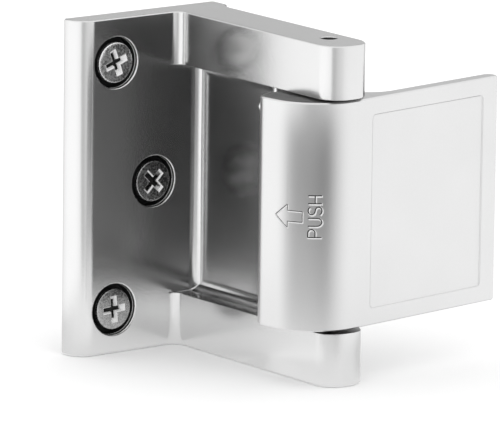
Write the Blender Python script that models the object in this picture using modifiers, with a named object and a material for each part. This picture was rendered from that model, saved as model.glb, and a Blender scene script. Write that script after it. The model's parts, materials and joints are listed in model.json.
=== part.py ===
"""Door reinforcement lock: a bracket for the door frame and a sprung leaf that swings on its arms.

The row frame has its origin on the bracket's back face, at the foot of the hinge axis and at half height.
+X runs from the frame towards the door, +Y into the wall and +Z up. All sizes are in metres.
The leaf's own frame has its origin on the hinge axis: S runs along the leaf to its tip, N to its back.
"""

import math

import bmesh
import bpy
from mathutils import Matrix, Vector

# Bracket: plate, web, arms and the lip at the plate's door side
HEIGHT = 0.0762
PLATE_WIDTH = 0.0413
PLATE_THICKNESS = 0.0060
FREE_EDGE_ROUND = 0.0045
LIP_REACH = 0.0051
LIP_STEP = 0.0018
LIP_CHAMFER = 0.0008
LIP_COVE_RADIUS = 0.0056
LIP_BACK_ROUND = 0.0011
ARM_THICKNESS = 0.0119
ARM_TAPER = 0.0004
ARM_HEIGHT = 0.01205
ARM_REACH = 0.0614
ARM_END_ROUND = 0.0049
ARM_ROOT_FILLET = 0.0026
WEB_THICKNESS = 0.0061
WEB_END_FROM_HINGE = 0.0168
WEB_END_ROUND = 0.0010
POCKET_FILLET = 0.0028
EDGE_BREAK = 0.0003

# Hinge axis and pin
HINGE_FROM_ARM_END = 0.0102
HINGE_FROM_ARM_OUTSIDE = 0.0047
PIN_DIAMETER = 0.0031
PIN_SUNK = 0.0024
PIN_END_CHAMFER = 0.0003
PIN_FLOOR = 0.0018

# Mounting screws, pan heads sunk in counterbores
SCREW_HEAD_DIAMETER = 0.0093
SCREW_HEAD_HEIGHT = 0.0026
SCREW_HEAD_CROWN = 0.0008
SCREW_SHANK_DIAMETER = 0.0045
SCREW_LENGTH = 0.0127
SCREW_POINT = 0.0034
COUNTERBORE_DIAMETER = 0.0115
COUNTERBORE_DEPTH = 0.0032
COUNTERBORE_CHAMFER = 0.0004
SCREW_HOLE_DIAMETER = 0.0054
OUTER_SCREWS_FROM_EDGE = 0.0103
OUTER_SCREWS_FROM_END = 0.0101
MIDDLE_SCREW_FROM_EDGE = 0.0209

# Leaf: barrel round the pin, heel behind it and flat blade in front of it
LEAF_ANGLE = math.radians(8.2)
LEAF_END_GAP = 0.00053
LEAF_REACH = 0.0452
LEAF_THICKNESS = 0.00345
LEAF_FRONT = 0.0091
LEAF_TIP_FRONT_ROUND = 0.0010
LEAF_TIP_BACK_ROUND = 0.0018
FLARE_RADIUS = 0.0076
FLARE_END_RADIUS = 0.0020
FLARE_END_SWEEP = math.radians(35)
BARREL_BACK = 0.0101
BARREL_TIP_SIDE = 0.0075
BARREL_BACK_ROUND = 0.0030
HEEL_REACH = 0.0129
HEEL_ROUND = 0.0123
HEEL_BACK_ROUND = 0.0035
PANEL_START = 0.0049
PANEL_LENGTH = 0.0353
PANEL_FROM_END = 0.00387
PANEL_DEPTH = 0.00025
PANEL_CORNER_ROUND = 0.0010

# Guide blocks in the barrel's ends, their springs and the pin in the heel
PUSH_TRAVEL = 0.0015
BLOCK_TIP_SIDE = 0.0024
BLOCK_HEEL_SIDE = 0.0034
BLOCK_FRONT_SIDE = 0.0026
BLOCK_BACK_SIDE = 0.0072
BLOCK_HEIGHT = 0.0100
BLOCK_CORNER_ROUND = 0.0007
SPRING_BORE_DIAMETER = 0.0025
SPRING_BORE_DEPTH = 0.0048
SPRING_FROM_HINGE = 0.0048
SPRING_SPACING = 0.0046
SPRING_WIRE = 0.00035
SPRING_DIAMETER = 0.0019
SPRING_TURNS = 7
HEEL_PIN_DIAMETER = 0.0024
HEEL_PIN_LENGTH = 0.0120
HEEL_PIN_PROUD = 0.0008
HEEL_PIN_FROM_HINGE = 0.0094
HEEL_PIN_FROM_END = 0.0029

# Room between pieces, and how far a cut runs past what it cuts
CLEARANCE = 0.0003
OVERRUN = 0.0020
CUT_REACH = 0.0050

# Faces round a turned piece, along an arc and along a coil
TURN_STEPS = 32
ARC_STEPS = 8
LONG_ARC_STEPS = 32
COIL_POINTS_PER_TURN = 8
UPRIGHT = (0, 0, 1)
ACROSS_LEAF = (0, 1, 0)
WELD_DISTANCE = 0.00001
SHARP_ANGLE = math.radians(40)
BREAK_ANGLE = math.radians(50)

# Places in the row frame that several pieces share
ARM_OUTSIDE_X = HINGE_FROM_ARM_OUTSIDE
ARM_INSIDE_X = ARM_OUTSIDE_X - ARM_THICKNESS
LIP_X = ARM_OUTSIDE_X + LIP_STEP
FREE_EDGE_X = LIP_X - PLATE_WIDTH
WEB_FLOOR_X = ARM_OUTSIDE_X - WEB_THICKNESS
HINGE_FROM_WALL = ARM_REACH - HINGE_FROM_ARM_END
HINGE = Vector((0, -HINGE_FROM_WALL, 0))
WINDOW_HALF_HEIGHT = HEIGHT / 2 - ARM_HEIGHT
LEAF_HALF_HEIGHT = WINDOW_HALF_HEIGHT - LEAF_END_GAP
PANEL_HALF_HEIGHT = LEAF_HALF_HEIGHT - PANEL_FROM_END
PIN_HOLE_RADIUS = PIN_DIAMETER / 2 + CLEARANCE
PIN_HOLE_FLOOR = PIN_FLOOR - HEIGHT / 2

METAL = {
    "satin_nickel": ((0.66, 0.66, 0.66), 0.32),
    "zinc_steel": ((0.75, 0.75, 0.76), 0.22),
    "pin_steel": ((0.42, 0.42, 0.43), 0.30),
    "spring_steel": ((0.50, 0.50, 0.52), 0.35),
    "bronze": ((0.62, 0.44, 0.24), 0.38),
}


def clear_scene():
    for obj in list(bpy.data.objects):
        bpy.data.objects.remove(obj, do_unlink=True)


def new_collection(name):
    collection = bpy.data.collections.new(name)
    bpy.context.scene.collection.children.link(collection)
    return collection


def metal(name):
    """The finish called name, made once for each object so that each can be changed alone."""
    colour, roughness = METAL[name]
    material = bpy.data.materials.new(name)
    material.use_nodes = True
    shader = material.node_tree.nodes["Principled BSDF"]
    shader.inputs["Base Color"].default_value = (*colour, 1)
    shader.inputs["Metallic"].default_value = 1
    shader.inputs["Roughness"].default_value = roughness
    return material


def arc(centre_x, centre_y, radius, start, end, steps=ARC_STEPS):
    """Points from start to end degrees round a centre, both ends included."""
    turns = [math.radians(start + (end - start) * step / steps) for step in range(steps + 1)]
    return [(centre_x + radius * math.cos(a), centre_y + radius * math.sin(a)) for a in turns]


def weld_caps(mesh):
    """Weld an extruded outline's mesh and make each of its two caps one face."""
    work = bmesh.new()
    work.from_mesh(mesh)
    bmesh.ops.remove_doubles(work, verts=work.verts, dist=WELD_DISTANCE)
    for side in (1, -1):
        cap = [face for face in work.faces if face.normal.z * side > math.cos(SHARP_ANGLE)]
        bmesh.ops.dissolve_faces(work, faces=cap)
    work.to_mesh(mesh)
    work.free()


def curve_to_mesh(curve_object, name, collection):
    """Turn a curve object into a welded mesh object in the same place."""
    graph = bpy.context.evaluated_depsgraph_get()
    mesh = bpy.data.meshes.new_from_object(curve_object.evaluated_get(graph))
    obj = bpy.data.objects.new(name, mesh)
    collection.objects.link(obj)
    obj.matrix_world = curve_object.matrix_world
    curve = curve_object.data
    bpy.data.objects.remove(curve_object, do_unlink=True)
    bpy.data.curves.remove(curve)
    return obj


def extruded(name, outline, bottom, top, collection):
    """A flat outline in X and Y, raised from bottom to top."""
    curve = bpy.data.curves.new(name, "CURVE")
    curve.dimensions = "2D"
    curve.fill_mode = "BOTH"
    curve.extrude = (top - bottom) / 2
    spline = curve.splines.new("POLY")
    spline.points.add(len(outline) - 1)
    for point, (x, y) in zip(spline.points, outline):
        point.co = (x, y, 0, 1)
    spline.use_cyclic_u = True
    flat = bpy.data.objects.new(name + "_outline", curve)
    collection.objects.link(flat)
    bpy.context.view_layer.update()
    obj = curve_to_mesh(flat, name, collection)
    obj.data.transform(Matrix.Translation((0, 0, (top + bottom) / 2)))
    weld_caps(obj.data)
    return obj


def turned(name, profile, collection):
    """A profile of radius and height, from the top down its outer side, turned about Z."""
    mesh = bpy.data.meshes.new(name)
    mesh.from_pydata([(radius, 0, height) for radius, height in profile],
                     [(i, i + 1) for i in range(len(profile) - 1)], [])
    obj = bpy.data.objects.new(name, mesh)
    collection.objects.link(obj)
    screw = obj.modifiers.new("turn", "SCREW")
    screw.steps = screw.render_steps = TURN_STEPS
    screw.use_merge_vertices = True
    screw.merge_threshold = WELD_DISTANCE
    return obj


def block(name, low, high, collection):
    """A box between two corners."""
    bpy.ops.mesh.primitive_cube_add(size=1)
    obj = bpy.context.object
    size = Vector(high) - Vector(low)
    middle = (Vector(high) + Vector(low)) / 2
    obj.data.transform(Matrix.Translation(middle) @ Matrix.Diagonal((*size, 1)))
    return adopt(obj, name, collection)


def rod(name, radius, start, end, collection):
    """A cylinder between two points."""
    start, end = Vector(start), Vector(end)
    along = end - start
    bpy.ops.mesh.primitive_cylinder_add(vertices=TURN_STEPS, radius=radius, depth=along.length)
    obj = bpy.context.object
    turn = Vector((0, 0, 1)).rotation_difference(along).to_matrix().to_4x4()
    obj.data.transform(Matrix.Translation((start + end) / 2) @ turn)
    return adopt(obj, name, collection)


def adopt(obj, name, collection):
    """Name a new primitive and move it to its collection."""
    obj.name = obj.data.name = name
    for home in list(obj.users_collection):
        home.objects.unlink(obj)
    collection.objects.link(obj)
    return obj


def round_edges(obj, width, segments, angle=BREAK_ANGLE):
    """Bevel the edges that turn by more than angle."""
    bevel = obj.modifiers.new("edges", "BEVEL")
    bevel.width = width
    bevel.segments = segments
    bevel.limit_method = "ANGLE"
    bevel.angle_limit = angle
    bevel.use_clamp_overlap = False


def round_edges_along(obj, direction, radius):
    """Bevel only the edges that run along one direction."""
    along = Vector(direction)

    def runs_along(edge):
        return abs((edge.verts[0].co - edge.verts[1].co).normalized().dot(along)) > 0.9

    round_chosen(obj, radius, runs_along)


def round_edges_at(obj, x, radius):
    """Bevel only the edges that lie in the plane at x."""

    def lies_there(edge):
        return all(abs(vert.co.x - x) < WELD_DISTANCE for vert in edge.verts)

    round_chosen(obj, radius, lies_there)


def round_chosen(obj, radius, chosen):
    """Bevel the edges for which chosen is true."""
    work = bmesh.new()
    work.from_mesh(obj.data)
    edges = [edge for edge in work.edges if chosen(edge)]
    bmesh.ops.bevel(work, geom=edges, offset=radius, offset_type="OFFSET", segments=ARC_STEPS,
                    profile=0.5, affect="EDGES", material=-1)
    work.to_mesh(obj.data)
    work.free()


def cut(obj, cutter):
    """Take cutter out of obj, and keep it as a guide."""
    boolean = obj.modifiers.new("cut " + cutter.name, "BOOLEAN")
    boolean.operation = "DIFFERENCE"
    boolean.solver = "EXACT"
    boolean.object = cutter
    cutter.hide_render = True
    cutter.display_type = "WIRE"


def finish(obj, metal_name):
    """Give a piece its finish and smooth its round faces."""
    obj.data.materials.clear()
    obj.data.materials.append(metal(metal_name))
    obj.data.shade_smooth()
    obj.data.set_sharp_from_angle(angle=SHARP_ANGLE)


def put(obj, parent):
    """Hang a piece on an empty, in the empty's own frame."""
    obj.parent = parent


def bracket_outline():
    """Plan of the bracket at its arms: plate, free edge, root fillet, arm end, cove and lip."""
    plate_front = -PLATE_THICKNESS
    arm_end = -ARM_REACH
    edge_centre = FREE_EDGE_X + FREE_EDGE_ROUND
    root_centre = ARM_INSIDE_X - ARM_ROOT_FILLET
    tip_inside = ARM_INSIDE_X + ARM_TAPER
    cove_sweep = math.degrees(math.acos(1 - (LIP_STEP - LIP_CHAMFER) / LIP_COVE_RADIUS))
    cove_top = -(LIP_REACH + LIP_CHAMFER)
    cove_end = cove_top - LIP_COVE_RADIUS * math.sin(math.radians(cove_sweep))
    points = [(FREE_EDGE_X, 0)]
    points += arc(edge_centre, plate_front + FREE_EDGE_ROUND, FREE_EDGE_ROUND, 180, 270)
    points += arc(root_centre, plate_front - ARM_ROOT_FILLET, ARM_ROOT_FILLET, 90, 0)
    points += arc(tip_inside + ARM_END_ROUND, arm_end + ARM_END_ROUND, ARM_END_ROUND, 180, 270)
    points += arc(ARM_OUTSIDE_X - ARM_END_ROUND, arm_end + ARM_END_ROUND, ARM_END_ROUND, 270, 360)
    points += arc(ARM_OUTSIDE_X + LIP_COVE_RADIUS, cove_end, LIP_COVE_RADIUS, 180, 180 - cove_sweep)
    points += [(LIP_X, -LIP_REACH)]
    points += arc(LIP_X - LIP_BACK_ROUND, -LIP_BACK_ROUND, LIP_BACK_ROUND, 0, 90)
    return points


def pocket_outline():
    """Plan of the pocket milled between the arms: down to the plate and to the web's floor."""
    plate_front = -PLATE_THICKNESS
    root_start = ARM_INSIDE_X - ARM_ROOT_FILLET
    left = root_start - CUT_REACH
    far = -(ARM_REACH + CUT_REACH)
    return [(left, plate_front - EDGE_BREAK), (root_start, plate_front), (WEB_FLOOR_X, plate_front),
            (WEB_FLOOR_X, far), (left, far)]


def gap_outline():
    """Plan of the gap beyond the web's rounded end, right through between the arms."""
    left = WEB_FLOOR_X - CUT_REACH
    right = LIP_X + CUT_REACH
    far = -(ARM_REACH + CUT_REACH)
    web_end = WEB_END_FROM_HINGE - HINGE_FROM_WALL
    points = [(left, web_end + WEB_END_ROUND), (WEB_FLOOR_X, web_end + WEB_END_ROUND)]
    points += arc(WEB_FLOOR_X + WEB_END_ROUND, web_end + WEB_END_ROUND, WEB_END_ROUND, 180, 270)[1:]
    points += arc(ARM_OUTSIDE_X - WEB_END_ROUND, web_end + WEB_END_ROUND, WEB_END_ROUND, 270, 360)
    points += [(right, web_end + WEB_END_ROUND), (right, far), (left, far)]
    return points


def screw_places():
    """Name of each mounting screw and its place on the plate."""
    outer = FREE_EDGE_X + OUTER_SCREWS_FROM_EDGE
    return {
        "mounting_screw_top": (outer, HEIGHT / 2 - OUTER_SCREWS_FROM_END),
        "mounting_screw_middle": (FREE_EDGE_X + MIDDLE_SCREW_FROM_EDGE, 0),
        "mounting_screw_bottom": (outer, OUTER_SCREWS_FROM_END - HEIGHT / 2),
    }


def make_bracket(parts, cutters):
    bracket = extruded("jamb_bracket", bracket_outline(), -HEIGHT / 2, HEIGHT / 2, parts)
    round_edges(bracket, EDGE_BREAK, 1)
    pocket = extruded("pocket_cut", pocket_outline(), -WINDOW_HALF_HEIGHT, WINDOW_HALF_HEIGHT, cutters)
    round_edges_at(pocket, WEB_FLOOR_X, POCKET_FILLET)
    cut(bracket, pocket)
    gap = extruded("gap_cut", gap_outline(), -WINDOW_HALF_HEIGHT, WINDOW_HALF_HEIGHT, cutters)
    cut(bracket, gap)
    hole = rod("hinge_hole_cut", PIN_HOLE_RADIUS, HINGE + Vector((0, 0, PIN_HOLE_FLOOR)),
               HINGE + Vector((0, 0, HEIGHT / 2 + OVERRUN)), cutters)
    cut(bracket, hole)
    for name, (x, z) in screw_places().items():
        bore = turned(name + "_bore_cut", counterbore_profile(), cutters)
        bore.location = (x, 0, z)
        bore.rotation_euler = (math.radians(90), 0, 0)
        cut(bracket, bore)
    finish(bracket, "satin_nickel")


def counterbore_profile():
    """Radius and height over the plate's back of a screw's counterbore, its rim chamfer and its hole."""
    wide = COUNTERBORE_DIAMETER / 2
    narrow = SCREW_HOLE_DIAMETER / 2
    face = PLATE_THICKNESS
    floor = face - COUNTERBORE_DEPTH
    flare = COUNTERBORE_CHAMFER + OVERRUN
    return [(0, face + OVERRUN), (wide + flare, face + OVERRUN), (wide, face - COUNTERBORE_CHAMFER),
            (wide, floor), (narrow, floor), (narrow, -OVERRUN), (0, -OVERRUN)]


def screw_profile():
    """Radius and height over the plate's back of a pan head screw seated in its counterbore."""
    head = SCREW_HEAD_DIAMETER / 2
    shank = SCREW_SHANK_DIAMETER / 2
    seat = PLATE_THICKNESS - COUNTERBORE_DEPTH + CLEARANCE
    shoulder = seat + SCREW_HEAD_HEIGHT - SCREW_HEAD_CROWN
    top = seat + SCREW_HEAD_HEIGHT
    crown = [(head * math.sin(math.radians(a)),
              shoulder + (top - shoulder) * math.cos(math.radians(a))) for a in (0, 30, 55, 75, 90)]
    return crown + [(head, seat), (shank, seat), (shank, seat - SCREW_LENGTH + SCREW_POINT),
                    (0, seat - SCREW_LENGTH)]


def make_screws(parts):
    for name, (x, z) in screw_places().items():
        screw = turned(name, screw_profile(), parts)
        screw.location = (x, 0, z)
        screw.rotation_euler = (math.radians(90), 0, 0)
        finish(screw, "zinc_steel")


def make_hinge_pin(parts):
    radius = PIN_DIAMETER / 2
    low = PIN_HOLE_FLOOR + CLEARANCE
    high = HEIGHT / 2 - PIN_SUNK
    profile = [(0, high), (radius - PIN_END_CHAMFER, high), (radius, high - PIN_END_CHAMFER),
               (radius, low + PIN_END_CHAMFER), (radius - PIN_END_CHAMFER, low), (0, low)]
    pin = turned("hinge_pin", profile, parts)
    pin.location = HINGE
    finish(pin, "pin_steel")


def leaf_outline():
    """Plan of the leaf in S and N: tip, blade, flare into the barrel, square back and round heel."""
    front = -LEAF_FRONT
    back = front + LEAF_THICKNESS
    sweep = math.degrees(FLARE_END_SWEEP)
    lead = FLARE_RADIUS - FLARE_END_RADIUS
    flare_s = BARREL_TIP_SIDE + FLARE_END_RADIUS + lead * math.cos(FLARE_END_SWEEP)
    flare_end_n = back + FLARE_RADIUS - lead * math.sin(FLARE_END_SWEEP)
    points = arc(LEAF_REACH - LEAF_TIP_FRONT_ROUND, front + LEAF_TIP_FRONT_ROUND,
                 LEAF_TIP_FRONT_ROUND, 270, 360)
    points += arc(LEAF_REACH - LEAF_TIP_BACK_ROUND, back - LEAF_TIP_BACK_ROUND,
                  LEAF_TIP_BACK_ROUND, 0, 90)
    points += arc(flare_s, back + FLARE_RADIUS, FLARE_RADIUS, 270, 180 + sweep)
    points += arc(BARREL_TIP_SIDE + FLARE_END_RADIUS, flare_end_n,
                  FLARE_END_RADIUS, 180 + sweep, 180)[1:]
    points += arc(BARREL_TIP_SIDE - BARREL_BACK_ROUND, BARREL_BACK - BARREL_BACK_ROUND,
                  BARREL_BACK_ROUND, 0, 90)
    points += arc(HEEL_BACK_ROUND - HEEL_REACH, BARREL_BACK - HEEL_BACK_ROUND,
                  HEEL_BACK_ROUND, 90, 180)
    points += arc(HEEL_ROUND - HEEL_REACH, front + HEEL_ROUND, HEEL_ROUND, 180, 270, LONG_ARC_STEPS)
    return points


def make_leaf(parts, cutters, carrier):
    leaf = extruded("swing_leaf", leaf_outline(), -LEAF_HALF_HEIGHT, LEAF_HALF_HEIGHT, parts)
    put(leaf, carrier)
    round_edges(leaf, EDGE_BREAK, 1)
    slot_outline = arc(PUSH_TRAVEL, 0, PIN_HOLE_RADIUS, -90, 90, LONG_ARC_STEPS)
    slot_outline += arc(0, 0, PIN_HOLE_RADIUS, 90, 270, LONG_ARC_STEPS)
    slot = extruded("pin_slot_cut", slot_outline, -LEAF_HALF_HEIGHT - OVERRUN,
                    LEAF_HALF_HEIGHT + OVERRUN, cutters)
    put(slot, carrier)
    cut(leaf, slot)
    for name, side in (("upper", 1), ("lower", -1)):
        floor = side * (LEAF_HALF_HEIGHT - BLOCK_HEIGHT - CLEARANCE)
        mouth = side * (LEAF_HALF_HEIGHT + OVERRUN)
        near = (-BLOCK_HEEL_SIDE - CLEARANCE, -BLOCK_FRONT_SIDE - CLEARANCE, min(floor, mouth))
        far = (BLOCK_TIP_SIDE + CLEARANCE + PUSH_TRAVEL, BLOCK_BACK_SIDE + CLEARANCE, max(floor, mouth))
        pocket = block(name + "_pocket_cut", near, far, cutters)
        round_edges_along(pocket, UPRIGHT, BLOCK_CORNER_ROUND)
        put(pocket, carrier)
        cut(leaf, pocket)
    panel = block("panel_cut", (PANEL_START, -LEAF_FRONT - OVERRUN, -PANEL_HALF_HEIGHT),
                  (PANEL_START + PANEL_LENGTH, -LEAF_FRONT + PANEL_DEPTH, PANEL_HALF_HEIGHT), cutters)
    round_edges_along(panel, ACROSS_LEAF, PANEL_CORNER_ROUND)
    put(panel, carrier)
    cut(leaf, panel)
    heel_hole = rod("heel_pin_cut", HEEL_PIN_DIAMETER / 2 + CLEARANCE,
                    heel_pin_end(-CLEARANCE), heel_pin_end(HEEL_PIN_LENGTH + OVERRUN), cutters)
    put(heel_hole, carrier)
    cut(leaf, heel_hole)
    finish(leaf, "satin_nickel")


def heel_pin_end(distance):
    """A point of the heel pin's axis, distance from its inner end."""
    inner_end = BARREL_BACK + HEEL_PIN_PROUD - HEEL_PIN_LENGTH
    return Vector((-HEEL_PIN_FROM_HINGE, inner_end + distance, LEAF_HALF_HEIGHT - HEEL_PIN_FROM_END))


def make_heel_pin(parts, carrier):
    pin = rod("heel_pin", HEEL_PIN_DIAMETER / 2, heel_pin_end(0), heel_pin_end(HEEL_PIN_LENGTH), parts)
    put(pin, carrier)
    finish(pin, "zinc_steel")


def spring_axes():
    """Name of each spring, with its block's name and the height of its axis."""
    axes = {}
    for block_name, side in (("upper", 1), ("lower", -1)):
        middle = side * (LEAF_HALF_HEIGHT - BLOCK_HEIGHT / 2)
        for place, shift in (("outer", side), ("inner", -side)):
            axes[f"{block_name}_{place}_spring"] = (block_name, middle + shift * SPRING_SPACING / 2)
    return axes


def make_guide_blocks(parts, cutters, carrier):
    """The two blocks that turn on the pin and let the leaf slide, each with two spring bores."""
    for name, side in (("upper", 1), ("lower", -1)):
        outer = side * LEAF_HALF_HEIGHT
        inner = side * (LEAF_HALF_HEIGHT - BLOCK_HEIGHT)
        low, high = min(outer, inner), max(outer, inner)
        guide = block(name + "_guide_block", (-BLOCK_HEEL_SIDE, -BLOCK_FRONT_SIDE, low),
                      (BLOCK_TIP_SIDE, BLOCK_BACK_SIDE, high), parts)
        round_edges_along(guide, UPRIGHT, BLOCK_CORNER_ROUND)
        put(guide, carrier)
        bore = rod(name + "_block_bore_cut", PIN_HOLE_RADIUS, (0, 0, low - OVERRUN),
                   (0, 0, high + OVERRUN), cutters)
        put(bore, carrier)
        cut(guide, bore)
        for spring_name, (block_name, height) in spring_axes().items():
            if block_name != name:
                continue
            start = (BLOCK_TIP_SIDE - SPRING_BORE_DEPTH, SPRING_FROM_HINGE, height)
            end = (BLOCK_TIP_SIDE + OVERRUN, SPRING_FROM_HINGE, height)
            spring_bore = rod(spring_name + "_bore_cut", SPRING_BORE_DIAMETER / 2, start, end, cutters)
            put(spring_bore, carrier)
            cut(guide, spring_bore)
        finish(guide, "bronze")


def coil_points():
    """Points along S of one spring, from its bore's floor to the pocket's wall."""
    start = BLOCK_TIP_SIDE - SPRING_BORE_DEPTH + CLEARANCE + SPRING_WIRE / 2
    end = BLOCK_TIP_SIDE + PUSH_TRAVEL - SPRING_WIRE / 2
    radius = (SPRING_DIAMETER - SPRING_WIRE) / 2
    count = SPRING_TURNS * COIL_POINTS_PER_TURN
    points = []
    for step in range(count + 1):
        angle = math.tau * step / COIL_POINTS_PER_TURN
        along = start + (end - start) * step / count
        points.append(Vector((along, radius * math.cos(angle), radius * math.sin(angle))))
    return points


def least_gap(points, thickness):
    """Least room between a coil's turns, from points at least half a turn apart."""
    half_turn = COIL_POINTS_PER_TURN // 2
    apart = [(points[i] - points[j]).length for i in range(len(points))
             for j in range(i + half_turn, len(points))]
    return min(apart) - thickness


def make_springs(parts, carrier):
    points = coil_points()
    print("least gap between a spring's turns, mm:", round(least_gap(points, SPRING_WIRE) * 1000, 2))
    for name, (_, height) in spring_axes().items():
        curve = bpy.data.curves.new(name, "CURVE")
        curve.dimensions = "3D"
        curve.bevel_depth = SPRING_WIRE / 2
        curve.bevel_resolution = 1
        curve.use_fill_caps = True
        spline = curve.splines.new("POLY")
        spline.points.add(len(points) - 1)
        for point, place in zip(spline.points, points):
            point.co = (place.x, place.y + SPRING_FROM_HINGE, place.z + height, 1)
        spring = bpy.data.objects.new(name, curve)
        parts.objects.link(spring)
        put(spring, carrier)
        curve.materials.append(metal("spring_steel"))


def main():
    clear_scene()
    parts = new_collection("door_reinforcement_lock")
    cutters = new_collection("cutters")
    carrier = bpy.data.objects.new("leaf_axis", None)
    carrier.location = HINGE
    carrier.rotation_euler = (0, 0, LEAF_ANGLE)
    parts.objects.link(carrier)
    make_bracket(parts, cutters)
    make_screws(parts)
    make_hinge_pin(parts)
    make_guide_blocks(parts, cutters, carrier)
    make_springs(parts, carrier)
    make_leaf(parts, cutters, carrier)
    make_heel_pin(parts, carrier)


if __name__ == "__main__":
    main()
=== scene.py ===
"""Door reinforcement lock: its finish, its engraved mark, its screws and a plain studio.

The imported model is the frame. Lengths are in metres, with +X from the door frame towards the door,
+Y into the wall and +Z up. The leaf's own directions are S, along the leaf to its tip, and N, to its back.
"""

import json
import math

import bmesh
import bpy
from bpy.props import FloatProperty, FloatVectorProperty, PointerProperty
from mathutils import Matrix, Vector


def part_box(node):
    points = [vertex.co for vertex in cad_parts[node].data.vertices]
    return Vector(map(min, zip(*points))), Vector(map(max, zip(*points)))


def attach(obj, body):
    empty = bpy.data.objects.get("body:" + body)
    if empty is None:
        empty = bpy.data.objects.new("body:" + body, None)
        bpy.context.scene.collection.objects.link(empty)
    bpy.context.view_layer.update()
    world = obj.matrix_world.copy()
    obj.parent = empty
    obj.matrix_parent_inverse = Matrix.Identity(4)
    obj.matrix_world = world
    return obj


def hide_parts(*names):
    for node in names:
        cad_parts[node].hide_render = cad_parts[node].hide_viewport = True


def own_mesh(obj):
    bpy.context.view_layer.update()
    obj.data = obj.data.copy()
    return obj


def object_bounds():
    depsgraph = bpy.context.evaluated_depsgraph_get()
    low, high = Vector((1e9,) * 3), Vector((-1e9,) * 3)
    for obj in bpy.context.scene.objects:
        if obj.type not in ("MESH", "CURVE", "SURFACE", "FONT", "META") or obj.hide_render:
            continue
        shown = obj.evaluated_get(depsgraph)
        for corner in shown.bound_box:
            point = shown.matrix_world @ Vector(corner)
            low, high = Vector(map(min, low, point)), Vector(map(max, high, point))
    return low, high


bl_info = {
    "name": "Door Reinforcement Lock",
    "version": (1, 0, 0),
    "blender": (4, 5, 0),
    "location": "3D View > Sidebar > Door Lock",
    "description": "Dresses a packed door reinforcement lock and sets up its studio",
    "category": "Object",
}

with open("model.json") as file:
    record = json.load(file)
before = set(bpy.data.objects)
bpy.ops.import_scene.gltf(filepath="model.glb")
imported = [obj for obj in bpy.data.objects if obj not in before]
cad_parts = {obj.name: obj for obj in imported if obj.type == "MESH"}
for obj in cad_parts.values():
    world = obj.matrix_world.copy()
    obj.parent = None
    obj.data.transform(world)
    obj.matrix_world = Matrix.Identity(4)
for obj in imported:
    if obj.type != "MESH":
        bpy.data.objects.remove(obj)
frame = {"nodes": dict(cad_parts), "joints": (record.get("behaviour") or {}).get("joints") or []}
CAD_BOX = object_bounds()

# Directions of the leaf, from the frame's joints
SWING = next(joint for joint in frame["joints"] if joint["name"] == "leaf_swing")
PUSH = next(joint for joint in frame["joints"] if joint["name"] == "leaf_push")
HINGE = Vector(SWING["pos_m"])
LEAF_S = -Vector(PUSH["axis"]).normalized()
LEAF_N = Vector((-LEAF_S.y, LEAF_S.x, 0))
UP = Vector((0, 0, 1))

# Front of the screw plate, and how far the CAD's screw heads lie behind it
HEAD_SUNK = 0.0003
FRONT_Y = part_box("mounting_screw_middle")[0].y - HEAD_SUNK

# Points closer than this are one, and faces that turn less than this are one flat face
MERGE_DISTANCE = 0.000001
FLAT_ANGLE = math.radians(0.2)

# Edges that turn more than these stay sharp
SMOOTH_ANGLE = math.radians(50)
LEAF_SMOOTH_ANGLE = math.radians(32)
SCREW_SMOOTH_ANGLE = math.radians(35)
COIL_SMOOTH_ANGLE = math.radians(70)

# How the fine grain and the soft clouds of a metal mix, plain and mottled
GRAIN_SHARE = 0.35
MOTTLE_SHARE = 0.6
MOTTLE_RANGE = (0.40, 0.60)

# Barrel's round front, in S and N
BARREL_CENTRE_S = -0.0006
BARREL_CENTRE_N = 0.0032
BARREL_RADIUS = 0.0123
BARREL_AXIS = HINGE + LEAF_S * BARREL_CENTRE_S + LEAF_N * BARREL_CENTRE_N
BARREL_FACET_SINK = 0.00003

# Engraved mark: how far round the barrel from its front flat, and how high, then its grooves
WORD_FOOT = 0.0079
WORD_HEAD = 0.0110
WORD_LOW = -0.0045
WORD_HIGH = 0.0048
ARROW_TAIL = 0.0123
ARROW_NECK = 0.0158
ARROW_TIP = 0.0190
ARROW_HALF_SHAFT = 0.0012
ARROW_HALF_HEAD = 0.0026
LETTER_SHARE = 0.70
MARK_STEP = 0.0002
MARK_RISE = 0.00008
MARK_FLOOR_SHARE = 0.75
EDGE_WIDTH_SHARE = 0.46
EDGE_DEPTH_SHARE = 3.2
EDGE_SHIFT = 0.00015
ARROW_SHARE = 0.75
# Depths of the grooves' pale etch, partly a painted highlight, and of their painted shade
MARK_ETCH_HIGHLIGHT_RANGE = (0.00006, 0.00010)
MARK_SHADE_RANGE = (0.00016, 0.00020)

# The mark's area, in S and N from the barrel's axis and in a margin over and under the word
MARK_S_LIMIT = -0.004
MARK_N_LIMIT = 0.0006
MARK_MARGIN = 0.001

# Screws: the turn of each in degrees, its darkest and lightest zinc, lit lighter or shaded darker screw by screw as
# painted light, and how deep the painted highlight round its recess goes
SCREWS = {
    "mounting_screw_top": (20, (0.80, 1.0), 0.0010),
    "mounting_screw_middle": (45, (0.28, 0.5), 0.0005),
    "mounting_screw_bottom": (4, (0.34, 0.56), 0.0010),
}
HEAD_HEIGHT = 0.0026
HEAD_RADIUS_SHARE = 0.985
HEAD_STAND = 0.0002
HEAD_CROWN = 0.00012
HEAD_EDGE_ROUND = 0.00028
SHANK_RADIUS = 0.0018
THREAD_RADIUS = 0.00225
THREAD_PITCH = 0.0011
THREAD_ROOT_SHARE = 0.97
THREAD_HALF_SHARE = 0.42
THREAD_TURN_STEPS = 24
POINT_LENGTH = 0.0034
RECESS_SPAN = 0.0057
RECESS_WING = 0.0013
RECESS_DEPTH = 0.0015
RECESS_FLARE = 0.00022
RECESS_FLARE_WIDENING = 4
RECESS_TAPER_SHARE = 0.62
RECESS_OFFSET = 0.00003
RECESS_REACH = 0.0033
# Depths where the recess's painted highlight and its painted shade begin
RECESS_HIGHLIGHT_START = 0.00005
RECESS_SHADE_START = 0.0012
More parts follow.
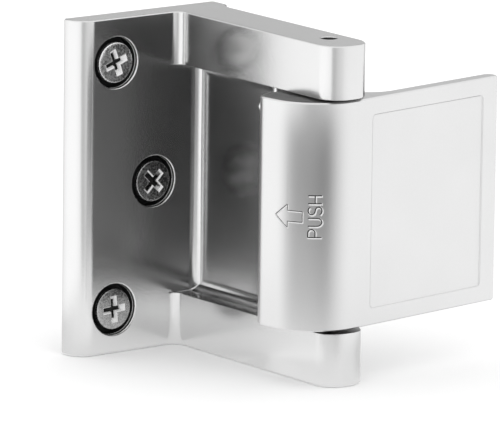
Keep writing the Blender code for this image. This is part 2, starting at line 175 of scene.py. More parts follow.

# Painted shade inside the counterbores, on the screw heads' sides and in the hinge hole, by depth, and a painted
# highlight ring in the counterbores
BORE_RADIUS = 0.0059
BORE_SHADE_RANGE = (0.0005, 0.0006)
BORE_HIGHLIGHT_START = 0.0008
BORE_HIGHLIGHT_END = 0.0011
BORE_SHADE_FLOOR = 0.0035
HEAD_SHADE_RANGE = (0.00085, 0.00105)
HOLE_SHADE_RADIUS = 0.0021
HOLE_SHADE_RANGE = (0.0001, 0.0004)

# Tone, roughness and metallic of the coats over the plain metal: painted shade, a pale etch that is partly a
# painted highlight, and a painted highlight ring and edges
PAINTED_SHADE = (0.01, 0.7, 0.0)
PALE_ETCH_AND_HIGHLIGHT = (0.93, 0.8, 0.0)
PAINTED_RING_HIGHLIGHT = (0.9, 0.6, 0.0)
PAINTED_EDGE_HIGHLIGHT = (0.95, 0.5, 0.0)

# Heel pin
HEEL_PIN_RADIUS = 0.0012
HEEL_PIN_DOME = 0.0004
HEEL_PIN_STAND = 0.0007
HEEL_PIN_TONES = (0.52, 1.0)

# Camera, fitted to the photo's edges
IMAGE_WIDTH = 500
CAMERA_FOCAL_PIXELS = 7237.39
CAMERA_SENSOR = 36
CAMERA_TARGET = Vector((-0.0148, -0.0300, 0))
CAMERA_DISTANCE = 1.59783
CAMERA_AZIMUTH = math.radians(-37.042)
CAMERA_ELEVATION = math.radians(11.709)
CAMERA_ROLL = math.radians(0.743)
CAMERA_SHIFT_RIGHT = 0.007779
CAMERA_SHIFT_UP = -0.003446
CAMERA_CLIP_START = 0.1

# Floor, and the wide tent that only reflections see, with its tones by the way round in degrees
FLOOR_SIZE = 3.0
FLOOR_LIFT = 0.17
TENT_RADIUS = 0.30
TENT_HEIGHT = 0.30
TENT_LIFT = 0.0005
TENT_STEPS = 96
TENT_CENTRE_X = -0.015
TENT_CENTRE_Y = -0.030
TENT_GLOW = 1.3
TENT_BAND = 0.086
TENT_BAND_SOFT = 0.016
TENT_NEAR_RADIUS = 0.062
TENT_FAR_RADIUS = 0.090
TENT_FAR_TONES = {0: 1.0, 30: 0.5, 50: 0.2, 75: 0.3, 95: 0.6, 120: 1.1, 143: 1.2, 185: 1.2, 211: 1.08, 220: 0.58,
                  232: 0.58, 242: 0.72, 265: 0.85, 279: 0.97, 305: 1.05, 325: 1.05}
TENT_NEAR_TONES = {0: 0.8, 60: 0.7, 110: 0.8, 160: 0.95, 230: 1.05, 250: 0.85, 285: 0.92, 300: 0.9, 318: 0.75}
TENT_SECOND_HIGH_TONE = 0.06
TENT_SECOND_NEAR_RADIUS = 0.028
TENT_SECOND_FAR_RADIUS = 0.050
TENT_SECOND_TONES = {0: 0.2, 45: 0.16, 70: 0.12, 100: 0.08, 155: 0.08, 185: 0.3, 200: 1.3, 235: 1.3,
                     241: 0.10, 250: 0.10, 265: 0.2, 300: 0.2}
TENT_HIGH_TONES = {0: 1.0, 25: 0.62, 53: 0.56, 90: 0.62, 143: 1.0, 345: 1.0}

# Grey screen round the barrel's axis, which only first reflections see
SCREEN_RADIUS = 0.040
SCREEN_TOP = 0.019
SCREEN_TOP_SOFT = 0.003
SCREEN_TONES = {187: 0.36, 200: 0.33, 230: 0.27, 255: 0.13}
SCREEN_LIFT = 0.001
SCREEN_FOOT_EXTRA = 0.42
SCREEN_FOOT_RANGE = (0.006, 0.046)
SCREEN_FLOOR_EXTRA = 0.3
SCREEN_FLOOR_RANGE = (0.004, 0.012)
SCREEN_COVER = {159: 0.0, 173: 0.15, 187: 0.85, 198: 1.0, 255: 1.0, 268: 0.45, 282: 0.1, 290: 0.0}

# Dark card that faces the corner of plate and web, which only second reflections see
CARD_CORNER_X = -0.0014
CARD_CORNER_Y = -0.0060
CARD_DISTANCE = 0.058
CARD_AZIMUTH = math.radians(233)
CARD_HALF_WIDTH = 0.032
CARD_SOFT_EDGE = 0.012
CARD_STEP = 0.0065
CARD_STEP_LOW = 0.049
CARD_STEP_HIGH = 0.052
CARD_TOP = 0.036
CARD_TONE = 0.02
CARD_FOOT_TONE = 0.05
CARD_FOOT_HEIGHT = 0.030


class Value:
    """A shader socket that Python arithmetic works on; each step adds a Math node."""

    def __init__(self, finish, socket):
        self.finish = finish
        self.socket = socket

    def step(self, operation, first, second):
        node = self.finish.node("ShaderNodeMath", {"operation": operation}, {0: first, 1: second})
        return Value(self.finish, node.outputs[0])

    def __add__(self, other):
        return self.step("ADD", self, other)

    def __radd__(self, other):
        return self.step("ADD", other, self)

    def __sub__(self, other):
        return self.step("SUBTRACT", self, other)

    def __rsub__(self, other):
        return self.step("SUBTRACT", other, self)

    def __mul__(self, other):
        return self.step("MULTIPLY", self, other)

    def __rmul__(self, other):
        return self.step("MULTIPLY", other, self)

    def __truediv__(self, other):
        return self.step("DIVIDE", self, other)

    def __gt__(self, other):
        return self.step("GREATER_THAN", self, other)

    def __lt__(self, other):
        return self.step("LESS_THAN", self, other)


class Finish:
    """A node tree for a material or the world, with one way to add any node."""

    def __init__(self, holder):
        holder.use_nodes = True
        self.material = holder
        self.tree = holder.node_tree
        self.tree.nodes.clear()

    def node(self, kind, settings=(), sockets=()):
        node = self.tree.nodes.new(kind)
        for name, setting in dict(settings).items():
            setattr(node, name, setting)
        for key, given in dict(sockets).items():
            if isinstance(given, Value):
                given = given.socket
            if isinstance(given, bpy.types.NodeSocket):
                self.tree.links.new(given, node.inputs[key])
            else:
                node.inputs[key].default_value = given
        return node

    def place(self):
        """The surface's own X, Y and Z."""
        where = self.node("ShaderNodeTexCoord").outputs["Object"]
        parts = self.node("ShaderNodeSeparateXYZ", {}, {0: where})
        return [Value(self, parts.outputs[name]) for name in "XYZ"]

    def noise(self, size, detail=2.0):
        """Noise between 0 and 1 whose blotches are about size across."""
        place = self.node("ShaderNodeTexCoord").outputs["Object"]
        sockets = {"Vector": place, "Scale": 1 / size, "Detail": detail}
        noise = self.node("ShaderNodeTexNoise", {}, sockets)
        return Value(self, noise.outputs["Fac"])

    def mixed(self, share, first, second):
        """A colour between two colours, by share."""
        mix = self.node("ShaderNodeMix", {"data_type": "RGBA"})
        sockets = {socket.name: socket for socket in mix.inputs if socket.enabled}
        for name, given in {"Factor": share, "A": first, "B": second}.items():
            if isinstance(given, Value):
                given = given.socket
            if isinstance(given, bpy.types.NodeSocket):
                self.tree.links.new(given, sockets[name])
            else:
                sockets[name].default_value = given
        return next(socket for socket in mix.outputs if socket.enabled)

    def shades(self, share, dark, light):
        """A grey or colour between dark and light."""
        return self.mixed(share, (*dark, 1), (*light, 1))

    def between(self, value, start, end):
        """0 up to start, 1 from end on and even between them."""
        node = self.node("ShaderNodeMapRange", {"interpolation_type": "SMOOTHSTEP"},
                         {"Value": value, "From Min": start, "From Max": end})
        return Value(self, node.outputs[0])

    def bounced(self):
        """1 for light paths that have met two surfaces or more on their way here."""
        depth = Value(self, self.node("ShaderNodeLightPath").outputs["Ray Depth"])
        return depth > 1.5

    def ramp(self, share, stops, whole=1.0, top=1.0):
        """A grey that follows stops of place and tone, as shares of whole and of top."""
        node = self.node("ShaderNodeValToRGB", {}, {0: share})
        elements = node.color_ramp.elements
        while len(elements) < len(stops):
            elements.new(0.5)
        for element, (place, tone) in zip(elements, sorted(stops.items())):
            element.position = place / whole
            element.color = (*grey(tone / top), 1)
        return node.outputs[0]

    def surface(self, **sockets):
        """The Principled shader with its output."""
        named = {name.replace("_", " ").title(): given for name, given in sockets.items()}
        shader = self.node("ShaderNodeBsdfPrincipled", {}, named)
        self.node("ShaderNodeOutputMaterial", {}, {"Surface": shader.outputs["BSDF"]})
        return shader.outputs["BSDF"]


def metal(name, dark, light, roughness, grain, cloud, spread, depth, coats=None, mottled=False):
    """A metal with a fine grain, clouds of tone, a matching change of roughness and perhaps coats over it, such as
    painted shade and painted highlights.
    """
    material = bpy.data.materials.new(name)
    finish = Finish(material)
    fine = finish.noise(grain)
    soft = finish.noise(cloud, 1.0)
    if mottled:
        mixed = finish.between(fine, *MOTTLE_RANGE) * MOTTLE_SHARE + soft * (1 - MOTTLE_SHARE)
    else:
        mixed = fine * GRAIN_SHARE + soft * (1 - GRAIN_SHARE)
    tone = finish.shades(mixed, dark, light)
    rough = (mixed - 0.5) * spread + roughness
    metallic = 1.0
    for share, (coat_tone, coat_roughness, coat_metallic) in coats(finish) if coats else ():
        tone = finish.mixed(share, tone, (*grey(coat_tone), 1))
        rough = rough * (1 - share) + share * coat_roughness
        metallic = metallic * (1 - share) + share * coat_metallic
    bump = finish.node("ShaderNodeBump", {}, {"Strength": 1.0, "Distance": depth, "Height": fine})
    finish.surface(base_color=tone, metallic=metallic, roughness=rough, normal=bump.outputs["Normal"])
    return material


def bore_shade_and_highlight(finish):
    """Painted shade deep in the three counterbores and in the hinge hole, and a painted highlight ring in each
    counterbore.
    """
    x, y, z = finish.place()
    inside = 0.0
    for node in SCREWS:
        middle = box_middle(node)
        inside = inside + (squared(x, middle.x) + squared(z, middle.z) < BORE_RADIUS ** 2)
    depth = y - FRONT_Y
    # Painted highlight ring, and painted shade deeper down, in each counterbore
    ring = inside * (depth > BORE_HIGHLIGHT_START) * (depth < BORE_HIGHLIGHT_END)
    deep = inside * finish.between(depth, *BORE_SHADE_RANGE) * (depth < BORE_SHADE_FLOOR)
    # Painted shade down the hinge hole
    middle = box_middle("hinge_pin")
    hole = squared(x, middle.x) + squared(y, middle.y) < HOLE_SHADE_RADIUS ** 2
    hole = hole * finish.between(CAD_BOX[1].z - z, *HOLE_SHADE_RANGE)
    return [(deep + hole, PAINTED_SHADE), (ring, PAINTED_RING_HIGHLIGHT)]


def head_shade_and_highlight(node, edge_depth):
    """Painted highlights on the edges round a screw's recess, and painted shade on the recess floor and on the
    head's side.
    """
    middle = box_middle(node)
    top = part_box(node)[0].y - HEAD_STAND

    def coats(finish):
        x, y, z = finish.place()
        depth = y - top
        near = squared(x, middle.x) + squared(z, middle.z) < RECESS_REACH ** 2
        # Painted highlight on the recess's edges and painted shade on its floor
        edge = near * (depth > RECESS_HIGHLIGHT_START) * (depth < edge_depth)
        floor = near * (depth > RECESS_SHADE_START) * (depth < RECESS_DEPTH + RECESS_FLARE)
        # Painted shade on the head's side, down in the counterbore
        sunk = y - FRONT_Y
        side = finish.between(sunk, *HEAD_SHADE_RANGE) * (1 - near) * (sunk < BORE_SHADE_FLOOR)
        return [(edge, PAINTED_EDGE_HIGHLIGHT), (floor + side, PAINTED_SHADE)]

    return coats


def mark_etch_and_shade(finish):
    """A pale etch on the floor of the mark's grooves, which is partly a painted highlight, and painted shade in
    their deep edges.
    """
    x, y, z = finish.place()
    across, along = x - BARREL_AXIS.x, y - BARREL_AXIS.y
    reach = x.step("SQRT", across * across + along * along, 0.0)
    depth = BARREL_RADIUS - reach
    left = across * LEAF_S.x + along * LEAF_S.y
    back = across * LEAF_N.x + along * LEAF_N.y
    place = (left < MARK_S_LIMIT) * (back < MARK_N_LIMIT)
    place = place * (z < WORD_HIGH + MARK_MARGIN) * (z > WORD_LOW - MARK_MARGIN)
    # Pale etch on the groove floors, partly a painted highlight, and painted shade in their deep edges
    etch_highlight = place * finish.between(depth, *MARK_ETCH_HIGHLIGHT_RANGE)
    dark = place * finish.between(depth, *MARK_SHADE_RANGE)
    return [(etch_highlight, PALE_ETCH_AND_HIGHLIGHT), (dark, PAINTED_SHADE)]


def box_middle(node):
    low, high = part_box(node)
    return (low + high) / 2


def squared(value, middle):
    away = value - middle
    return away * away


def grey(value):
    return (value, value, value)


def satin_nickel(settings, roughness, coats=None):
    tone = settings.nickel_tone
    return metal("satin_nickel", [v * 0.95 for v in tone], [v * 1.04 for v in tone], roughness,
                 grain=0.00045, cloud=0.014, spread=0.06, depth=0.000010, coats=coats)


def bright_zinc(dark, light, coats=None):
    return metal("bright_zinc", grey(dark), grey(light), roughness=0.26,
                 grain=0.0005, cloud=0.004, spread=0.16, depth=0.000034, coats=coats, mottled=True)


# Hinge pin steel darkened near to black as painted shade, so that the hinge hole reads dark
def pin_steel():
    return metal("pin_steel", grey(0.03), grey(0.06), roughness=0.34,
                 grain=0.0004, cloud=0.005, spread=0.10, depth=0.000005)


def spring_steel():
    return metal("spring_steel", grey(0.46), grey(0.58), roughness=0.30,
                 grain=0.0002, cloud=0.003, spread=0.08, depth=0.000002)


def plain_bronze():
    return metal("plain_bronze", (0.52, 0.35, 0.18), (0.66, 0.47, 0.27), roughness=0.40,
                 grain=0.0003, cloud=0.004, spread=0.12, depth=0.000006)


def link(obj):
    bpy.context.scene.collection.objects.link(obj)
    return obj


def mesh_object(name, work):
    """A new object that holds a bmesh, which is then freed."""
    mesh = bpy.data.meshes.new(name)
    work.to_mesh(mesh)
    work.free()
    return link(bpy.data.objects.new(name, mesh))


def applied(obj):
    """Give the object its own evaluated mesh, so that no modifier is left on it."""
    graph = bpy.context.evaluated_depsgraph_get()
    mesh = bpy.data.meshes.new_from_object(obj.evaluated_get(graph), depsgraph=graph)
    old = obj.data
    obj.modifiers.clear()
    obj.data = mesh
    mesh.name = obj.name
    if old.users == 0:
        bpy.data.meshes.remove(old)
    return obj


def shade_round(obj, angle=SMOOTH_ANGLE):
    """Smooth the round faces, keep flat ones flat and leave sharp edges sharp."""
    obj.data.shade_smooth()
    obj.data.set_sharp_from_angle(angle=angle)
    weighted = obj.modifiers.new("flat faces stay flat", "WEIGHTED_NORMAL")
    weighted.keep_sharp = True
    return applied(obj)


def true_barrel(obj):
    """Point the normals of the barrel's round front straight out, so that the cuts leave no blotches on it."""
    mesh = obj.data
    normals = [corner.vector.copy() for corner in mesh.corner_normals]
    for face in mesh.polygons:
        spokes = [mesh.vertices[index].co - BARREL_AXIS for index in face.vertices]
        spokes = [Vector((spoke.x, spoke.y, 0)) for spoke in spokes]
        if all(abs(spoke.length - BARREL_RADIUS) < BARREL_FACET_SINK and spoke.dot(LEAF_N) < 0 for spoke in spokes):
            for corner, spoke in zip(face.loop_indices, spokes):
                normals[corner] = spoke.normalized()
    mesh.normals_split_custom_set(normals)
    return obj


def merged_copy(node, name):
    """A copy of a CAD node with its loose triangles joined to whole flat faces."""
    work = bmesh.new()
    work.from_mesh(frame["nodes"][node].data)
    bmesh.ops.remove_doubles(work, verts=work.verts, dist=MERGE_DISTANCE)
    bmesh.ops.dissolve_limit(work, angle_limit=FLAT_ANGLE, verts=work.verts, edges=work.edges)
    return mesh_object(name, work)


def softened(obj):
    """Break the sharp edges with a narrow bevel."""
    bevel = obj.modifiers.new("broken edges", "BEVEL")
    bevel.width = bpy.context.scene.lock_settings.edge_width
    bevel.segments = 2
    bevel.limit_method = "ANGLE"
    bevel.angle_limit = SMOOTH_ANGLE
    bevel.use_clamp_overlap = False
    return applied(obj)


def dress(obj, node, body, material):
    """Finish a piece, let it stand for a CAD node and let it move with that node's body."""
    obj.data.materials.clear()
    obj.data.materials.append(material)
    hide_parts(node)
    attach(obj, body)
    return obj


def cut_away(obj, cutter):
    """Take a cutter out of a piece and drop the cutter."""
    boolean = obj.modifiers.new("cut", "BOOLEAN")
    boolean.operation = "DIFFERENCE"
    boolean.solver = "EXACT"
    boolean.use_self = True
    boolean.object = cutter
    applied(obj)
    bpy.data.objects.remove(cutter, do_unlink=True)


def barrel_point(around, height, lift=0.0):
    """A place on the barrel's round front, by its way round from the front flat and its height."""
    angle = -math.pi / 2 - around / BARREL_RADIUS
    reach = BARREL_RADIUS + lift
    s = BARREL_CENTRE_S + reach * math.cos(angle)
    n = BARREL_CENTRE_N + reach * math.sin(angle)
    return HINGE + LEAF_S * s + LEAF_N * n + UP * height


def arc_share(centre, radius, start, end, steps=10):
    """Points of an arc in a letter's own square, in degrees from its foot line."""
    turns = [math.radians(start + (end - start) * i / steps) for i in range(steps + 1)]
    return [(centre[0] + radius[0] * math.cos(a), centre[1] + radius[1] * math.sin(a)) for a in turns]


def letter_strokes():
    """Strokes of P, U, S and H, each in a square from 0 to 1, as shares of the letter's size."""
    bowl = [(0, 0), (0, 1)] + arc_share((0.55, 0.74), (0.45, 0.26), 90, -90) + [(0, 0.48)]
    cup = [(0, 1), (0, 0.35)] + arc_share((0.5, 0.35), (0.5, 0.35), 180, 360) + [(1, 1)]
    snake = arc_share((0.5, 0.745), (0.48, 0.255), 20, 270) + arc_share((0.5, 0.245), (0.5, 0.245), 90, -160)
    return [[bowl], [cup], [snake], [[(0, 0), (0, 1)], [(1, 0), (1, 1)], [(0, 0.5), (1, 0.5)]]]


def word_paths():
    """The word's strokes as (way round, height), read upwards with its foot to the leaf's side."""
    strokes = letter_strokes()
    pitch = (WORD_HIGH - WORD_LOW) / (len(strokes) - 1 + LETTER_SHARE)
    paths = []
    for index, letter in enumerate(strokes):
        start = WORD_LOW + index * pitch
        for stroke in letter:
            paths.append([(WORD_FOOT + (WORD_HEAD - WORD_FOOT) * y, start + x * pitch * LETTER_SHARE)
                          for x, y in stroke])
    return paths


def arrow_path():
    """The arrow's outline as (way round, height), its tip away from the leaf's blade."""
    return [(ARROW_TAIL, ARROW_HALF_SHAFT), (ARROW_NECK, ARROW_HALF_SHAFT), (ARROW_NECK, ARROW_HALF_HEAD),
            (ARROW_TIP, 0), (ARROW_NECK, -ARROW_HALF_HEAD), (ARROW_NECK, -ARROW_HALF_SHAFT),
            (ARROW_TAIL, -ARROW_HALF_SHAFT), (ARROW_TAIL, ARROW_HALF_SHAFT)]


def stepped(path):
    """The path with more points on its long stretches, so that it follows the barrel."""
    points = [path[0]]
    for (u0, z0), (u1, z1) in zip(path, path[1:]):
        count = max(1, round(math.hypot(u1 - u0, z1 - z0) / MARK_STEP))
        points += [(u0 + (u1 - u0) * i / count, z0 + (z1 - z0) * i / count) for i in range(1, count + 1)]
    return points


def groove_section(points, index, half, depth, shift):
    """The four corners of a tapered groove across the path, its mouth over the barrel's surface."""
    ahead = (points[min(index + 1, len(points) - 1)] - points[max(index - 1, 0)]).normalized()
    side = Vector((-ahead.y, ahead.x)) * half
    foot = side * MARK_FLOOR_SHARE
    middle = points[index] + Vector((shift, shift))
    corners = ((middle + side, MARK_RISE), (middle + foot, -depth),
               (middle - foot, -depth), (middle - side, MARK_RISE))
    return [barrel_point(around, height, lift) for (around, height), lift in corners]


def groove_cutter(paths, width, depth, shift=0.0):
    """Tapered rods along the paths, shifted up and away from the blade."""
    work = bmesh.new()
    for path in paths:
        points = [Vector(point) for point in stepped(path)]
        corners = [work.verts.new(place) for place in groove_section(points, 0, width / 2, depth, shift)]
        rim = [work.edges.new((corners[i], corners[(i + 1) % 4])) for i in range(4)]
        for index in range(1, len(points)):
            made = bmesh.ops.extrude_edge_only(work, edges=rim)["geom"]
            rim = [item for item in made if isinstance(item, bmesh.types.BMEdge)]
            fresh = [item for item in made if isinstance(item, bmesh.types.BMVert)]
            corners = [min(fresh, key=lambda vert: (vert.co - corner.co).length) for corner in corners]
            for corner, place in zip(corners, groove_section(points, index, width / 2, depth, shift)):
                corner.co = place
    bmesh.ops.holes_fill(work, edges=[e for e in work.edges if e.is_boundary])
    bmesh.ops.recalc_face_normals(work, faces=work.faces)
    return mesh_object("mark_cutter", work)


def spun(work, profile, steps=64):
    """Spin a profile of radius and height about Z and close its poles."""
    verts = [work.verts.new((radius, 0, height)) for radius, height in profile]
    edges = [work.edges.new(pair) for pair in zip(verts, verts[1:])]
    bmesh.ops.spin(work, geom=verts + edges, cent=(0, 0, 0), axis=UP, angle=math.tau, steps=steps,
                   use_merge=True)
    bmesh.ops.remove_doubles(work, verts=work.verts, dist=MERGE_DISTANCE)
    bmesh.ops.recalc_face_normals(work, faces=work.faces)


def cross_cutter(top):
    """A tapered cross with a flared mouth that ends over the head's top."""
    work = bmesh.new()
    long, wide = RECESS_SPAN, RECESS_WING
    flare = RECESS_FLARE * RECESS_FLARE_WIDENING
    levels = [(RECESS_FLARE, long + flare, wide + flare), (-RECESS_FLARE, long, wide),
              (-RECESS_DEPTH, long * RECESS_TAPER_SHARE, wide * RECESS_TAPER_SHARE)]
    for turn, drop in ((0, 0), (90, RECESS_OFFSET)):
        layer = bmesh.ops.create_grid(work, x_segments=1, y_segments=1, size=0.5)["verts"]
        wing = list(layer)
        size = (1, 1)
        for height, across, along in levels:
            if size != (1, 1):
                face = next(f for f in layer[0].link_faces if all(v in layer for v in f.verts))
                made = bmesh.ops.extrude_face_region(work, geom=[face, *face.edges, *face.verts])["geom"]
                layer = [item for item in made if isinstance(item, bmesh.types.BMVert)]
                wing += layer
            bmesh.ops.scale(work, vec=(across / size[0], along / size[1], 1), verts=layer)
            bmesh.ops.translate(work, vec=(0, 0, top + height - drop - layer[0].co.z), verts=layer)
            size = (across, along)
        bmesh.ops.rotate(work, cent=(0, 0, 0), matrix=Matrix.Rotation(math.radians(turn), 3, "Z"), verts=wing)
    bmesh.ops.holes_fill(work, edges=[e for e in work.edges if e.is_boundary])
    bmesh.ops.recalc_face_normals(work, faces=work.faces)
    return mesh_object("recess_cutter", work)


def thread(work, top, bottom):
    """A helical ridge round the shank."""
    root = SHANK_RADIUS * THREAD_ROOT_SHARE
    half = THREAD_PITCH * THREAD_HALF_SHARE
    corners = [work.verts.new(p) for p in ((root, 0, top + half), (THREAD_RADIUS, 0, top), (root, 0, top - half))]
    edges = [work.edges.new((corners[i], corners[(i + 1) % 3])) for i in range(3)]
    turns = (top - bottom) / THREAD_PITCH
    steps = round(turns * THREAD_TURN_STEPS)
    bmesh.ops.spin(work, geom=corners + edges, cent=(0, 0, 0), axis=UP, dvec=(0, 0, (bottom - top) / steps),
                   angle=math.tau * turns, steps=steps)
    bmesh.ops.holes_fill(work, edges=[e for e in work.edges if e.is_boundary])
    bmesh.ops.recalc_face_normals(work, faces=work.faces)


def screw_mesh(node, turn_degrees):
    """A cross-recess pan head screw in the place of a CAD screw."""
    low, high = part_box(node)
    head = (high.x - low.x) / 2 * HEAD_RADIUS_SHARE
    flat = head - HEAD_EDGE_ROUND
    top = HEAD_STAND - low.y
    tip = -high.y
    seat = top - HEAD_HEIGHT
    shoulder = top - HEAD_CROWN - HEAD_EDGE_ROUND
    dome = [(flat * math.sin(math.radians(a)), top - HEAD_CROWN * (1 - math.cos(math.radians(a))))
            for a in (0, 25, 45, 65, 90)]
    edge = [(head - HEAD_EDGE_ROUND * (1 - math.cos(math.radians(a))),
             shoulder + HEAD_EDGE_ROUND * math.sin(math.radians(a))) for a in (65, 45, 20, 0)]
    work = bmesh.new()
    spun(work, dome + edge + [(head, seat), (SHANK_RADIUS, seat), (SHANK_RADIUS, tip + POINT_LENGTH), (0, tip)])
    screw = mesh_object(node.replace("mounting", "driven"), work)
    cut_away(screw, cross_cutter(top))
    ridge = bmesh.new()
    thread(ridge, seat - THREAD_PITCH, tip + POINT_LENGTH)
    ridge_object = mesh_object("thread", ridge)
    joined = bmesh.new()
    joined.from_mesh(screw.data)
    joined.from_mesh(ridge_object.data)
    joined.to_mesh(screw.data)
    joined.free()
    bpy.data.objects.remove(ridge_object, do_unlink=True)
    middle = box_middle(node)
    turn = Matrix.Rotation(math.radians(turn_degrees), 4, "Z")
    stand = Matrix.Translation((middle.x, 0, middle.z)) @ Matrix.Rotation(math.radians(90), 4, "X")
    screw.data.transform(stand @ turn)
    return shade_round(screw, SCREW_SMOOTH_ANGLE)


class LockSettings(bpy.types.PropertyGroup):
    """Sizes and colours that a user would change."""

    nickel_tone: FloatVectorProperty(name="Nickel", description="Colour of the bracket and the leaf",
                                     subtype="COLOR", size=3, default=(0.80, 0.80, 0.80), min=0, max=1)
    bracket_roughness: FloatProperty(name="Bracket roughness", description="How matt the bracket's nickel is",
                                     subtype="FACTOR", default=0.20, min=0, max=1)
    leaf_roughness: FloatProperty(name="Leaf roughness", description="How matt the leaf's nickel is",
                                  subtype="FACTOR", default=0.36, min=0, max=1)
    edge_width: FloatProperty(name="Edge width", description="Width of the broken edges",
                              unit="LENGTH", subtype="DISTANCE", precision=5, default=0.00018)
    groove_width: FloatProperty(name="Groove width", description="Width of the grooves of the word",
                                unit="LENGTH", subtype="DISTANCE", precision=5, default=0.00060)
    groove_depth: FloatProperty(name="Groove depth", description="Depth of the grooves of the word",
                                unit="LENGTH", subtype="DISTANCE", precision=5, default=0.00012)
    floor_tone: FloatProperty(name="Floor tone", description="How pale the studio floor is",
                              subtype="FACTOR", default=1.0, min=0, max=1)


class LOCK_OT_bracket(bpy.types.Operator):
    """Dress the bracket with its satin nickel"""

    bl_idname = "lock.bracket"
    bl_label = "Bracket"

    def execute(self, context):
        settings = context.scene.lock_settings
        skin = shade_round(softened(merged_copy("jamb_bracket", "satin_bracket")))
        dress(skin, "jamb_bracket", "bracket", satin_nickel(settings, settings.bracket_roughness, bore_shade_and_highlight))
        return {"FINISHED"}


class LOCK_OT_leaf(bpy.types.Operator):
    """Dress the leaf and cut its arrow and word into the barrel"""

    bl_idname = "lock.leaf"
    bl_label = "Leaf"

    def execute(self, context):
        settings = context.scene.lock_settings
        skin = softened(merged_copy("swing_leaf", "engraved_leaf"))
        for paths, share in ((word_paths(), 1.0), ([arrow_path()], ARROW_SHARE)):
            width, depth = settings.groove_width * share, settings.groove_depth
            edge_depth = depth * EDGE_DEPTH_SHARE * share
            cut_away(skin, groove_cutter(paths, width, depth))
            cut_away(skin, groove_cutter(paths, width * EDGE_WIDTH_SHARE, edge_depth, EDGE_SHIFT))
        skin = true_barrel(shade_round(skin, LEAF_SMOOTH_ANGLE))
        dress(skin, "swing_leaf", "leaf", satin_nickel(settings, settings.leaf_roughness, mark_etch_and_shade))
        return {"FINISHED"}


class LOCK_OT_screws(bpy.types.Operator):
    """Make the three cross-recess screws"""

    bl_idname = "lock.screws"
    bl_label = "Screws"

    def execute(self, context):
        # Each screw's zinc tones are painted light, lighter or darker by screw, and its recess gets painted
        # highlights and painted shade
        for node, (turn, tones, edge_depth) in SCREWS.items():
            zinc = bright_zinc(*tones, head_shade_and_highlight(node, edge_depth))
            dress(screw_mesh(node, turn), node, "bracket", zinc)
        return {"FINISHED"}


class LOCK_OT_pins(bpy.types.Operator):
    """Dress the hinge pin and make the heel pin with its domed end"""

    bl_idname = "lock.pins"
    bl_label = "Pins"

    def execute(self, context):
        hinge = shade_round(merged_copy("hinge_pin", "steel_hinge_pin"))
        dress(hinge, "hinge_pin", "bracket", pin_steel())
        middle = box_middle("heel_pin")
        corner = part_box("heel_pin")[1] - middle
        half = abs(corner.dot(LEAF_N)) - HEEL_PIN_RADIUS * abs(LEAF_N.x) * abs(LEAF_N.y)
        dome = [(HEEL_PIN_RADIUS * math.sin(math.radians(a)),
                 half + HEEL_PIN_STAND - HEEL_PIN_DOME * (1 - math.cos(math.radians(a))))
                for a in (0, 20, 40, 60, 75, 90)]
        work = bmesh.new()
        spun(work, dome + [(HEEL_PIN_RADIUS, -half), (0, -half)], 32)
        pin = mesh_object("domed_heel_pin", work)
        lean = UP.rotation_difference(LEAF_N).to_matrix().to_4x4()
        pin.data.transform(Matrix.Translation(middle) @ lean)
        dress(shade_round(pin), "heel_pin", "leaf", bright_zinc(*HEEL_PIN_TONES))
        return {"FINISHED"}


class LOCK_OT_inside(bpy.types.Operator):
    """Dress the guide blocks and the springs inside the barrel"""

    bl_idname = "lock.inside"
    bl_label = "Guide blocks and springs"

    def execute(self, context):
        bronze = plain_bronze()
        wire = spring_steel()
        for end in ("upper", "lower"):
            node = end + "_guide_block"
            dress(shade_round(merged_copy(node, end + "_bronze_block")), node, "swivel", bronze)
            for place in ("outer", "inner"):
                node = f"{end}_{place}_spring"
                coil = shade_round(merged_copy(node, f"{end}_{place}_coil"), COIL_SMOOTH_ANGLE)
                dress(coil, node, "swivel", wire)
                ends = [LEAF_S.dot(vert.co) for vert in coil.data.vertices]
                length = max(ends) - min(ends)
                1 - PUSH["range_m"][1] / length
                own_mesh(coil)
        return {"FINISHED"}


class LOCK_OT_stage(bpy.types.Operator):
    """Set up the floor, the light and the camera"""

    bl_idname = "lock.stage"
    bl_label = "Studio"

    def execute(self, context):
        make_floor(context.scene.lock_settings.floor_tone)
        make_world()
        make_tent()
        make_screen()
        make_card()
        make_camera()
        return {"FINISHED"}


def make_floor(tone):
    work = bmesh.new()
    bmesh.ops.create_grid(work, x_segments=1, y_segments=1, size=FLOOR_SIZE / 2)
    bmesh.ops.translate(work, vec=(0, 0, CAD_BOX[0].z), verts=work.verts)
    floor = mesh_object("floor", work)
    material = bpy.data.materials.new("pale_floor")
    finish = Finish(material)
    shader = finish.node("ShaderNodeBsdfDiffuse", {}, {"Color": (tone, tone, tone, 1)}).outputs[0]
    path = finish.node("ShaderNodeLightPath").outputs
    seen = Value(finish, path["Is Camera Ray"]) + path["Is Glossy Ray"] + path["Is Transmission Ray"]
    white = finish.node("ShaderNodeEmission", {}, {"Color": (1, 1, 1, 1), "Strength": FLOOR_LIFT})
    both = finish.node("ShaderNodeAddShader", {}, {0: shader, 1: white.outputs[0]})
    mix = finish.node("ShaderNodeMixShader", {}, {0: seen, 1: shader, 2: both.outputs[0]})
    finish.node("ShaderNodeOutputMaterial", {}, {"Surface": mix.outputs[0]})
    floor.data.materials.append(material)


def make_world():
    """White behind the object, and a soft even studio for its light and reflections."""
    world = bpy.data.worlds.new("studio")
    bpy.context.scene.world = world
    finish = Finish(world)
    studio = finish.node("ShaderNodeBackground", {}, {"Color": (1, 1, 1, 1), "Strength": 1.0})
    white = finish.node("ShaderNodeBackground", {}, {"Color": (1, 1, 1, 1), "Strength": 1.0})
    seen = finish.node("ShaderNodeLightPath").outputs["Is Camera Ray"]
    mix = finish.node("ShaderNodeMixShader", {}, {0: seen, 1: studio.outputs[0], 2: white.outputs[0]})
    finish.node("ShaderNodeOutputWorld", {}, {"Surface": mix.outputs[0]})


